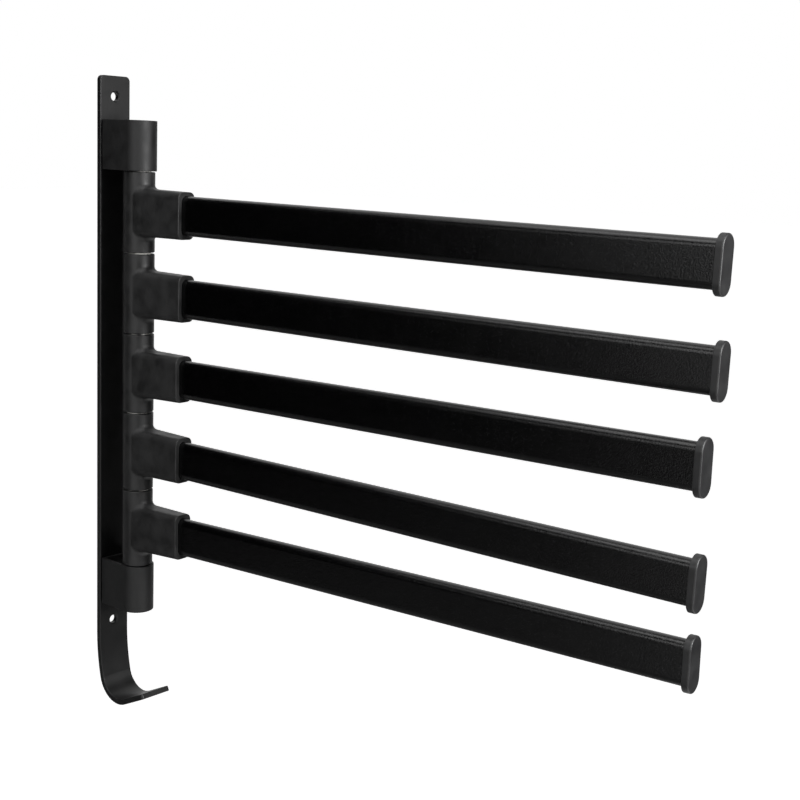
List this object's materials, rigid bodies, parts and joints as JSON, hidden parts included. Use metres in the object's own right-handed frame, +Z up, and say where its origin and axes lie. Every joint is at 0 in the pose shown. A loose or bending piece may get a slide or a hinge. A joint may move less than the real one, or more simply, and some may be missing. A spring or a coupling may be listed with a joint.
{
  "type": "swing arm towel bar",
  "caption": "Wall strip with a row of flat-oval towel bars that swing side to side on one upright rod, its lower end bent forward into a hook.",
  "frame": {"origin": "midway between the two wall screw holes, on the back face of the wall strip, in the plane of the wall", "axes": "+Y into the wall, so the bars reach towards -Y; +Z up; +X to the right of someone facing the wall"},
  "size_m": [0.0565, 0.4098, 0.4023],
  "materials": {
    "black_paint_plate": "satin black powder coat on steel strip",
    "black_paint_bracket": "satin black powder coat on steel profile",
    "black_paint_bar": "semi-gloss black paint with a fine speckle on steel tube",
    "black_moulding": "satin black moulded nylon",
    "pale_bush": "off-white acetal",
    "zinc_steel": "bright zinc-plated steel"
  },
  "bodies": {
    "wall_frame": {"wall_plate": "black_paint_plate", "upper_bracket": "black_paint_bracket", "lower_bracket": "black_paint_bracket", "upper_pivot_plug": "black_moulding", "lower_pivot_plug": "black_moulding", "bracket_screws": "zinc_steel", "pivot_rod": "zinc_steel", "rod_end_washers": "zinc_steel", "rod_end_screws": "zinc_steel"},
    "arm_1": {"arm_1_knuckle": "black_moulding", "arm_1_bushes": "pale_bush", "arm_1_bar": "black_paint_bar", "arm_1_bar_screw": "zinc_steel", "arm_1_end_cap": "black_moulding"},
    "arm_2": {"arm_2_knuckle": "black_moulding", "arm_2_bushes": "pale_bush", "arm_2_bar": "black_paint_bar", "arm_2_bar_screw": "zinc_steel", "arm_2_end_cap": "black_moulding"},
    "arm_3": {"arm_3_knuckle": "black_moulding", "arm_3_bushes": "pale_bush", "arm_3_bar": "black_paint_bar", "arm_3_bar_screw": "zinc_steel", "arm_3_end_cap": "black_moulding"},
    "arm_4": {"arm_4_knuckle": "black_moulding", "arm_4_bushes": "pale_bush", "arm_4_bar": "black_paint_bar", "arm_4_bar_screw": "zinc_steel", "arm_4_end_cap": "black_moulding"},
    "arm_5": {"arm_5_knuckle": "black_moulding", "arm_5_bushes": "pale_bush", "arm_5_bar": "black_paint_bar", "arm_5_bar_screw": "zinc_steel", "arm_5_end_cap": "black_moulding"}
  },
  "joints": [
    {"name": "arm_1_swing", "type": "hinge", "parent": "wall_frame", "child": "arm_1", "pos_m": [0, -0.0279, 0.1], "axis": [0, 0, 1], "range_deg": [-94.65, 85.35]},
    {"name": "arm_2_swing", "type": "hinge", "parent": "wall_frame", "child": "arm_2", "pos_m": [0, -0.0279, 0.05], "axis": [0, 0, 1], "range_deg": [-95.8, 84.2]},
    {"name": "arm_3_swing", "type": "hinge", "parent": "wall_frame", "child": "arm_3", "pos_m": [0, -0.0279, 0], "axis": [0, 0, 1], "range_deg": [-94.12, 85.88]},
    {"name": "arm_4_swing", "type": "hinge", "parent": "wall_frame", "child": "arm_4", "pos_m": [0, -0.0279, -0.05], "axis": [0, 0, 1], "range_deg": [-94.73, 85.27]},
    {"name": "arm_5_swing", "type": "hinge", "parent": "wall_frame", "child": "arm_5", "pos_m": [0, -0.0279, -0.1], "axis": [0, 0, 1], "range_deg": [-94.99, 85.01]}
  ]
}
